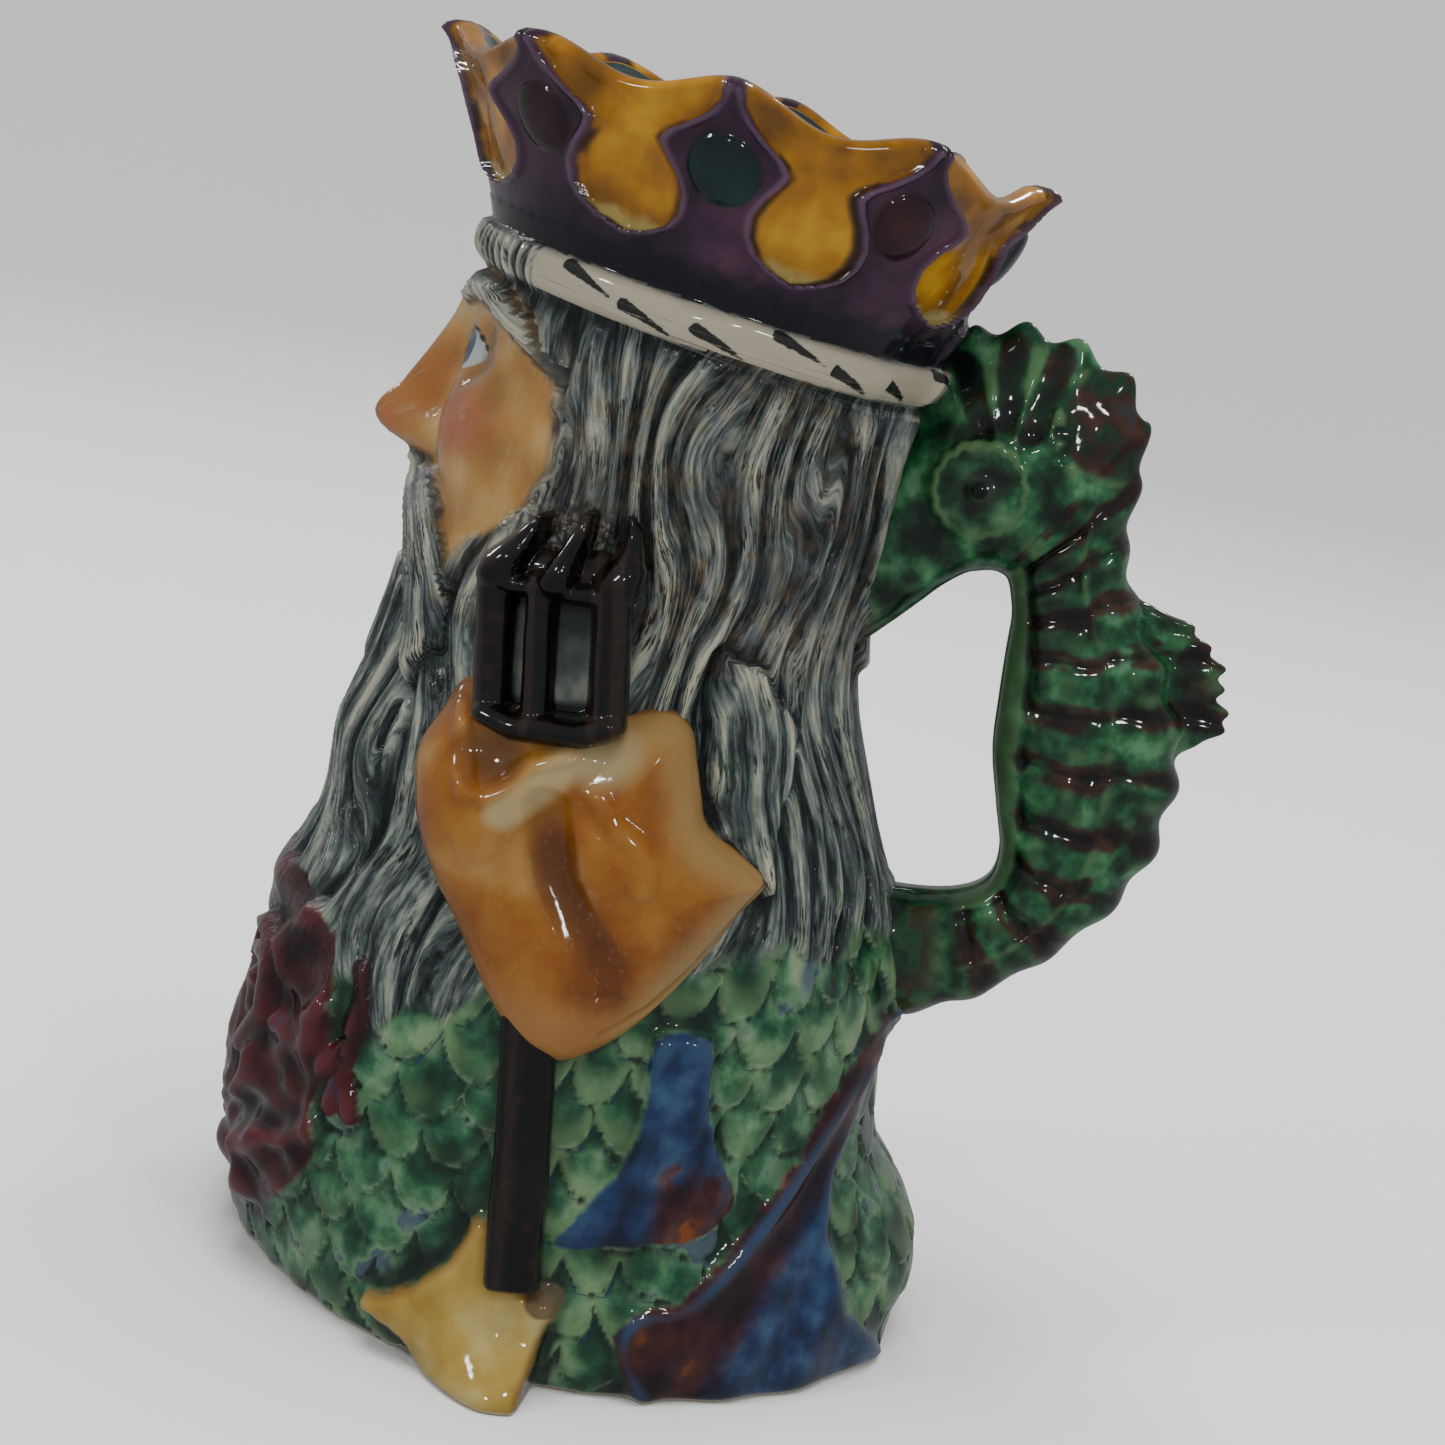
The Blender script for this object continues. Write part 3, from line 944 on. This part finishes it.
class Glaze:
    """A glaze material and the noises that all its brush strokes share, in millimetres."""

    def __init__(self, name):
        self.material = bpy.data.materials.new(name)
        self.material.use_nodes = True
        self.tree = self.material.node_tree
        spot = self.add("TexCoord", out="Object")
        self.place = self.add("VectorMath", {0: spot, "Scale": 1 / MM}, operation="SCALE")
        self.wander, self.cloud, self.speck = (
            self.add("TexNoise", {"Vector": self.place, "Scale": 1 / size, "Detail": detail})
            for size, detail in ((3.0, 3.0), (12.0, 4.0), (0.9, 2.0)))
        self.ridge = self.add("Attribute", attribute_name="ridge", out="Fac")

    def add(self, kind, inputs=None, out=0, stops=None, **settings):
        """Adds a node, sets it, fills its inputs with values or other outputs, and gives one of its own outputs."""
        node = self.tree.nodes.new("ShaderNode" + kind)
        for name, value in settings.items():
            setattr(node, name, value)
        for name, value in (inputs or {}).items():
            if isinstance(value, str):
                value = glaze_colour(value)
            if isinstance(value, bpy.types.NodeSocket):
                self.tree.links.new(value, node.inputs[name])
            else:
                node.inputs[name].default_value = value
        for i, (place, code) in enumerate(stops or ()):
            if i >= len(node.color_ramp.elements):
                node.color_ramp.elements.new(place)
            node.color_ramp.elements[i].position = place
            node.color_ramp.elements[i].color = glaze_colour(code)
        return node.outputs[out]

    def mask(self, value, low, high, strength=1.0, bleed=0.0):
        """0 where a paint layer or a value is low and up to strength where it is high, with an edge that wanders by
        about bleed millimetres."""
        if isinstance(value, str):
            value = self.add("Attribute", attribute_name=value, out="Fac")
        if bleed:
            value = self.add("Math", {0: self.wander, 1: 2 * bleed, 2: value}, operation="MULTIPLY_ADD")
        return self.add("MapRange", {"Value": value, "From Min": low + bleed, "From Max": high + bleed,
                                     "To Max": strength}, interpolation_type="SMOOTHSTEP")

    def brush(self, colour, *strokes):
        """Lays colours over each other, each where all its masks are: sockets, or what mask() takes."""
        for over, *masks in strokes:
            where = None
            for mask in masks:
                mask = self.mask(*mask) if isinstance(mask, tuple) else mask
                where = self.add("Math", {0: where, 1: mask}, operation="MULTIPLY") if where else mask
            colour = self.add("Mix", {0: where, 6: colour, 7: over}, out=2, data_type="RGBA")
        return colour

    def melt(self, colour, pale, dark, height_mm=0.6):
        """Glaze runs off ridges, which turn pale, and pools in hollows, which turn dark."""
        return self.brush(colour, (pale, (self.ridge, 0.08, height_mm + 0.3, 0.75)),
                          (dark, (self.ridge, -0.05, -height_mm - 0.3, 0.85)))

    def fire(self, piece, colour, height=None, bump_mm=0.12):
        """Ends the painting with the clear, slightly uneven glassy coat, and gives it to the piece."""
        shader = self.tree.nodes["Principled BSDF"].inputs
        self.tree.links.new(self.add("Gamma", {0: colour, "Gamma": DEEPER}), shader["Base Color"])
        for name, value in (("Roughness", 0.5), ("Specular IOR Level", 0.12), ("Coat Weight", 1.0),
                            ("Coat Roughness", 0.07), ("Coat IOR", 1.5)):
            shader[name].default_value = value
        dent = self.add("Bump", {"Distance": 0.5 * MM, "Height": self.cloud, "Strength": 0.5})
        if height:
            dent = self.add("Bump", {"Distance": bump_mm * MM, "Height": height, "Normal": dent})
        self.tree.links.new(dent, shader["Normal"])
        self.tree.links.new(dent, shader["Coat Normal"])
        piece.data.materials.append(self.material)
        print(self.material.name, "has", len(self.tree.nodes), "nodes, on", piece.name)

# %% [markdown]
# ## Hair glaze
#
# The hair is a pale tin glaze with slate brushed over it in streaks. The streaks must follow the locks, so the noise
# isn't read at a place in space but at a place across the strands, which each mesh carries, and it is stretched
# about eleven times down them. A nearly dry brush then left thin black marks in patches.

# %% Hair glaze
def hair_glaze(g):
    """Hair colour, and the streaks that make it."""
    strand = g.add("Attribute", attribute_name="strand", out="Fac")
    down = g.add("Math", {0: g.add("Attribute", attribute_name="run", out="Fac"), 1: 0.09}, operation="MULTIPLY")
    flow = g.add("CombineXYZ", {"X": strand, "Y": down, "Z": g.cloud})
    broad = g.add("TexNoise", {"Vector": flow, "Scale": 1 / 2.6, "Detail": 3.0})
    fine = g.add("TexNoise", {"Vector": flow, "Scale": 1 / 0.6, "Detail": 4.0, "Roughness": 0.65})
    dry_brush = g.add("TexNoise", {"Vector": flow, "Scale": 1 / 0.42, "Detail": 3.0, "Roughness": 0.7})
    patch = g.add("TexNoise", {"Vector": g.place, "Scale": 1 / 7.0, "Detail": 2.0})
    streak = g.add("Mix", {0: 0.5, 2: broad, 3: fine})
    tone = g.add("Math", {0: g.ridge, 1: 0.10, 2: streak}, operation="MULTIPLY_ADD")
    colour = g.add("ValToRGB", {0: tone}, stops=(
        (0.34, "#0B1113"), (0.43, "#273134"), (0.50, "#545E5E"), (0.57, "#828780"), (0.67, "#B0AE9C")))
    return g.brush(colour, ("#26333A", (g.cloud, 0.47, 0.34, 0.55)),
                   ("#080D0F", (dry_brush, 0.50, 0.58, 0.9), (patch, 0.46, 0.58))), streak

# %% [markdown]
# ## Body glaze
#
# The painter works from the ground up: sea green over all, with cobalt drawn along some scales, then amber skin,
# then the hair, and last the fins, the crab, the coral and the starfish.

# %% Sea green scales and skin
g = Glaze("majolica_glazed_earthenware")
blotch = g.add("TexNoise", {"Vector": g.place, "Scale": 1 / 7.0, "Detail": 4.0})
patches = g.add("TexNoise", {"Vector": g.place, "Scale": 1 / 16.0, "Detail": 2.0})
green = g.add("ValToRGB", {0: blotch}, stops=(
    (0.36, "#0C3624"), (0.46, "#1A4E36"), (0.53, "#366649"), (0.61, "#5C8062"), (0.70, "#869678")))
green = g.brush(
    green, ("#6F8A62", ("scale_up", 6.5, 2.0, 0.55), (patches, 0.42, 0.58)),
    ("#0A2A1E", ("scale_gap", 2.6, 0.2, 0.4)), ("#16305E", ("scale_gap", 1.1, 0.3, 0.9), (patches, 0.44, 0.54)),
    ("#93A084", ("scale_up", 1.8, 0.9), (g.wander, 0.44, 0.60, 0.35)),
    ("#17325F", (blotch, 0.60, 0.66, 0.7), (patches, 0.50, 0.40)))
skin = g.add("ValToRGB", {0: g.cloud}, stops=((0.3, "#8A6430"), (0.5, "#A58048"), (0.7, "#BAA072")))
skin = g.brush(
    skin, ("#99602A", ("nose", 0.1, 0.8, 0.8)), ("#92403F", ("blush", 0.25, 1.1, 0.6)),
    ("#C6A274", (g.ridge, 0.3, 1.5, 0.5)), ("#6B1A24", ("lips", -0.3, 0.3, 1, 0.1)),
    ("#A9ADAC", ("eye", -0.15, 0.15)), ("#35506A", ("iris", -0.15, 0.15, 1, 0.05)),
    ("#0A0D10", ("pupil", -0.15, 0.15)), ("#17110E", ("lash", -0.12, 0.12, 1, 0.1)))
colour = g.brush(g.melt(green, "#7F9272", "#06221A"), (skin, ("skin", -0.8, 0.8, 1, 1.0)))

# %% Hair, fins and sea life of the body
hair, streak = hair_glaze(g)
hair_here = g.mask("hair", -2.0, 2.0, bleed=1.6)
x, z = (g.add("SeparateXYZ", {0: g.place}, out=axis) for axis in "XZ")
uneven_z = g.add("Math", {0: g.wander, 1: 12.0, 2: z}, operation="MULTIPLY_ADD")
lean = g.add("Math", {0: uneven_z, 1: -0.35, 2: x}, operation="MULTIPLY_ADD")
cobalt = g.add("ValToRGB", {0: blotch}, stops=((0.36, "#0B1B38"), (0.5, "#17335A"), (0.66, "#365674")))
wine = g.add("ValToRGB", {0: blotch}, stops=(
    (0.36, "#240A12"), (0.5, "#3F1520"), (0.6, "#4E2A1C"), (0.7, "#7A4312")))
small, tail = g.brush(cobalt, (wine, (uneven_z, 43, 38), (x, 15, 19))), g.brush(cobalt, (wine, (lean, 30, 24)))
small, tail = (g.melt(fin, "#33506E", "#0A1222", 0.9) for fin in (small, tail))
red = g.add("ValToRGB", {0: blotch}, stops=(
    (0.36, "#220205"), (0.5, "#3E070D"), (0.62, "#501219"), (0.72, "#2C2C44")))
red = g.melt(red, "#642E34", "#140103", 0.9)
straw = g.add("ValToRGB", {0: g.cloud}, stops=((0.3, "#8E7028"), (0.5, "#A48E4C"), (0.7, "#B8AA7A")))
straw = g.brush(straw, ("#6E4614", ("star", 1.6, -0.2, 0.75)))
colour = g.brush(
    colour, (hair, hair_here), ("#211813", ("soot", 0.1, 0.8, 0.85), (g.speck, 0.35, 0.60)),
    (small, ("small_fin", -0.4, 0.4, 1, 0.8)), (tail, ("tail_fin", -0.5, 0.5, 1, 1.0)),
    (red, ("crab", -0.5, 0.5, 1, 0.9)), (red, ("coral", -0.3, 0.3, 1, 0.5)), (straw, ("star", -0.6, 0.6, 1, 0.9)),
    ("#5E4E3C", ("shell", -0.3, 0.3, 0.8, 0.2)), ("#B0A488", (z, 0.5, 0.1)))
g.fire(body, colour, g.add("Math", {0: streak, 1: hair_here}, operation="MULTIPLY"), 0.9)

# %% [markdown]
# ## Crown glaze
#
# Gold panels, violet straps with a pale worn lip, and two kinds of jewel. The gold thins to a pale straw colour at
# the bottom of each panel, and a dark line pools beside the straps. Below is the ermine band with its dark tails.

# %% Crown glaze
g = Glaze("gold_and_violet_glazed_earthenware")
hair, streak = hair_glaze(g)
wide = g.add("TexNoise", {"Vector": g.place, "Scale": 1 / 10.0, "Detail": 3.0})
fur = g.melt(g.brush(hair, ("#A39D8D", ("fur", -0.35, 0.35, 1, 0.5))), "#B3AD9D", "#5C6263")
tail_mark = g.add("Attribute", attribute_name="tail_mark", out="Fac")
tail_mark = g.add("Math", {0: g.speck, 1: 0.5, 2: tail_mark}, operation="MULTIPLY_ADD")
gold = g.add("ValToRGB", {0: wide}, stops=((0.32, "#704C00"), (0.5, "#966800"), (0.68, "#B2880A")))
gold = g.brush(gold, ("#A3935A", ("crown_up", 10.2, 8.2, 0.9, 2.0)), ("#C49A48", (g.ridge, 0.2, 1.2, 0.5)),
               ("#1A0F0A", ("strap", -1.5, -0.1), (wide, 0.44, 0.56, 0.9)))
violet = g.add("ValToRGB", {0: g.cloud}, stops=((0.3, "#1E1022"), (0.5, "#3A2038"), (0.7, "#523248")))
violet = g.melt(g.brush(violet, ("#0B0820", ("crown_up", 7.5, 3.0, 0.9, 2.0))), "#665064", "#120A18", 0.9)
emerald = g.add("ValToRGB", {0: g.cloud}, stops=((0.3, "#03141A"), (0.55, "#07292E"), (0.75, "#0C3C34")))
garnet = g.add("ValToRGB", {0: g.cloud}, stops=((0.3, "#190812"), (0.55, "#2E0F1A"), (0.75, "#401A22")))
crown_here = g.mask("crown_up", -0.3, 0.3, bleed=0.3)
colour = g.brush(
    fur, ("#0D1215", (tail_mark, 0.25, 0.5, 0.95), ("fur", -0.2, 0.2)), (gold, crown_here),
    (violet, crown_here, ("strap", -0.3, 0.3, 1, 0.35)), (emerald, ("emerald", -0.3, 0.3, 1, 0.2)),
    (garnet, ("garnet", -0.3, 0.3, 1, 0.2)), ("#A89F8C", ("inside", 3.0, 9.0)))
lock_here = g.add("Math", {0: streak, 1: g.mask("forelock", -0.7, 0.7, bleed=0.5)}, operation="MULTIPLY")
below_crown = g.add("Math", {0: lock_here, 1: g.mask("crown_up", 0.5, -0.5)}, operation="MULTIPLY")
g.fire(crown_piece, colour, below_crown, 0.9)

# %% [markdown]
# ## Hand and trident glazes
#
# The hand is amber from iron, thick and brown in its middle, peach at its edge, straw yellow towards the wrist. The
# trident is manganese black, so dark that only its worn edges and the highlights show the form.

# %% Hand glaze
g = Glaze("amber_glazed_earthenware")
wide = g.add("TexNoise", {"Vector": g.place, "Scale": 1 / 15.0, "Detail": 3.0})
amber = g.add("ValToRGB", {0: wide}, stops=(
    (0.34, "#6A3C06"), (0.47, "#84520E"), (0.57, "#906424"), (0.68, "#9C7A46")))
g.fire(hand, g.brush(
    amber, ("#92693C", ("low", 0.2, 1.0, 0.8)), ("#8B653A", ("depth", 5.0, 0.5, 0.6)),
    ("#937A4E", ("wrist", 0.15, 0.9, 0.8)), ("#9E9270", ("cream", 0.25, 0.95, 0.8)),
    ("#6B4A2C", ("pocket", 0.3, 0.95, 0.7)), ("#4F2A14", ("fold", 0.15, 0.95, 0.75)),
    ("#A98C5C", (g.ridge, 0.2, 1.0, 0.45)), ("#4A2A0A", ("depth", 0.8, 0.2, 0.6)),
    ("#A08A60", (g.speck, 0.58, 0.72, 0.15))))

# %% Trident glaze
g = Glaze("manganese_black_glazed_earthenware")
black = g.add("ValToRGB", {0: g.wander}, stops=((0.42, "#050303"), (0.56, "#0F0806"), (0.70, "#2A150C")))
slate = g.add("ValToRGB", {0: g.cloud}, stops=((0.38, "#26302F"), (0.5, "#4E5652"), (0.62, "#7C8178")))
g.fire(trident, g.brush(black, ("#452A1A", ("crest", 0.2, 0.9), (g.speck, 0.40, 0.66, 0.7)),
                        ("#2C211B", ("crest", 0.1, 0.8, 0.7)), (slate, ("slot", 0.3, 0.9))))

# %% [markdown]
# ## Sea horse glaze
#
# The sea horse is copper green, nearly black in its grooves and paler on its plates. Broad bars of manganese maroon
# with a little cobalt were brushed along the grooves by a quick hand, so they break up.

# %% Sea horse glaze
g = Glaze("sea_green_glazed_earthenware")
blotch = g.add("TexNoise", {"Vector": g.place, "Scale": 1 / 5.0, "Detail": 4.0})
gaps = g.add("TexNoise", {"Vector": g.place, "Scale": 1 / 7.0, "Detail": 3.0})
green = g.add("ValToRGB", {0: blotch}, stops=(
    (0.36, "#08291A"), (0.47, "#14452C"), (0.57, "#296240"), (0.70, "#558260")))
maroon = g.add("ValToRGB", {0: blotch}, stops=(
    (0.36, "#1C0407"), (0.5, "#340B10"), (0.6, "#472014"), (0.72, "#16263E")))
green = g.brush(
    green, (maroon, ("stripe", -0.8, 0.8, 1, 1.0), (gaps, 0.36, 0.48, 0.9)), ("#587050", ("belly", 0.3, 0.9, 0.6)),
    (maroon, ("fan", 0.12, 0.4), (blotch, 0.40, 0.54, 0.9)), ("#072414", ("crest_ray", 0.2, 0.8, 0.8)),
    (maroon, ("crest_ray", 0.1, 0.5), (gaps, 0.52, 0.6, 0.7)), (maroon, ("snout", 0, 1), (blotch, 0.44, 0.56, 0.7)),
    (maroon, ("back_fin", 0, 1), (gaps, 0.46, 0.56, 0.7)), ("#3A2010", ("tail", 0, 1), (blotch, 0.48, 0.60, 0.8)))
g.fire(horse, g.brush(
    g.melt(green, "#5A7852", "#051408", 0.35), ("#4E6E48", ("eye_scallop", 0.3, 0.95, 0.7)),
    ("#1E1A1C", ("head", 0, 1), ("horse_eye", 4.4, 2.4, 0.7)), ("#050505", ("head", 0, 1), ("horse_eye", 1.5, 1.1))))

# %% [markdown]
# ## Into the frame
#
# All the pieces are one casting, so they ride on the frame's only body and stand for its one solid.

# %% Ride, replace and name the finish
for piece in (body, crown_piece, hand, trident, horse):
    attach(piece, "root")
    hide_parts("pitcher")

# %% [markdown]
# ## Floor and light
#
# Shiny glaze shows its surroundings, so the light matters as much as the colour. A pale floor that curves up all
# round gives a plain surround from every side. To keep the dark glazes deep, the floor and the large, soft lamp are
# left out of reflections, as a photographer would shade them off, and five small lamps give the hard highlights.

# %% Pale floor that rises all round
FLAT, RISE = 1.6, 1.2
profile = [(FLAT + RISE * math.sin(a), RISE * (1 - math.cos(a))) for a in np.radians(np.linspace(0, 80, 12))]
rings = [[(r * math.cos(t), r * math.sin(t), up - 0.0002) for t in np.radians(np.arange(0, 360, 5))]
         for r, up in profile + [(3.1, 3.2)]]
vertices = [(0.0, 0.0, -0.0002)] + [point for ring in rings for point in ring]
sides = len(rings[0])
faces = [(0, 1 + j, 1 + (j + 1) % sides) for j in range(sides)]
for i in range(len(rings) - 1):
    for j in range(sides):
        k = (j + 1) % sides
        faces.append((1 + i * sides + j, 1 + (i + 1) * sides + j, 1 + (i + 1) * sides + k, 1 + i * sides + k))
mesh = bpy.data.meshes.new("floor")
mesh.from_pydata(vertices, [], faces)
mesh.shade_smooth()
floor = bpy.data.objects.new("floor", mesh)
bpy.context.scene.collection.objects.link(floor)
floor.visible_glossy = False
paper = bpy.data.materials.new("matt_backdrop_paper")
paper.use_nodes = True
sheet = paper.node_tree.nodes["Principled BSDF"].inputs
sheet["Base Color"].default_value, sheet["Roughness"].default_value = glaze_colour("#EDEDEC"), 0.9
mesh.materials.append(paper)

# %% Lights
def soft_box(name, place, size, power, glossy):
    """A square lamp that faces the pitcher, and shows in the glaze or doesn't."""
    lamp = bpy.data.lights.new(name, "AREA")
    lamp.size, lamp.energy = size, power
    box = bpy.data.objects.new(name, lamp)
    box.location = place
    box.rotation_euler = (Vector(place) - AIM).to_track_quat("Z", "Y").to_euler()
    box.visible_glossy = glossy
    bpy.context.scene.collection.objects.link(box)


soft_box("overhead", (0.0, 0.0, 2.2), 1.6, 60.0, False)
for name, place, size, power in (("left window", (-0.7, -0.55, 0.9), 0.13, 2.4),
                                 ("front window", (0.05, -1.0, 0.75), 0.06, 0.9),
                                 ("right window", (0.55, -0.75, 0.8), 0.09, 1.4),
                                 ("far window", (0.5, 0.9, 0.9), 0.16, 2.4),
                                 ("far left window", (-0.8, 0.6, 0.6), 0.1, 1.2)):
    soft_box(name, place, size, power, True)
world = bpy.data.worlds.new("studio")
bpy.context.scene.world = world
world.use_nodes = True
sky = world.node_tree.nodes["Background"].inputs
sky["Color"].default_value, sky["Strength"].default_value = glaze_colour("#F4F5F7"), 0.3
